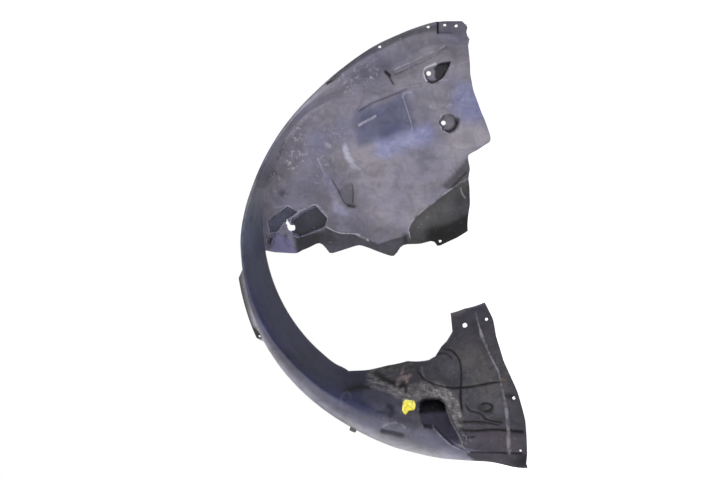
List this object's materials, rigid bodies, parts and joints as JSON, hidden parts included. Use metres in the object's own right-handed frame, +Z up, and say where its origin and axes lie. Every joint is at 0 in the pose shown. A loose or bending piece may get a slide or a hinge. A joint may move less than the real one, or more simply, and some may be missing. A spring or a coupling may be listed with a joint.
{
  "type": "wheel arch liner",
  "caption": "One-piece moulded liner for a front wheel arch, with a rolled outer lip, flat front panel, splayed rear panel and a push-in clip.",
  "frame": {"origin": "centre of the lower screw seat's hole in the front panel, on the wheel side of the seat's floor", "axes": "+X forward along the car, +Z up, -Y towards the wheel side"},
  "size_m": [0.7861, 0.2132, 0.5015],
  "materials": {
    "liner": "satin, slightly dusty",
    "clip": "satin"
  },
  "bodies": {
    "root": {"liner": "liner", "clip": "clip"}
  },
  "joints": []
}
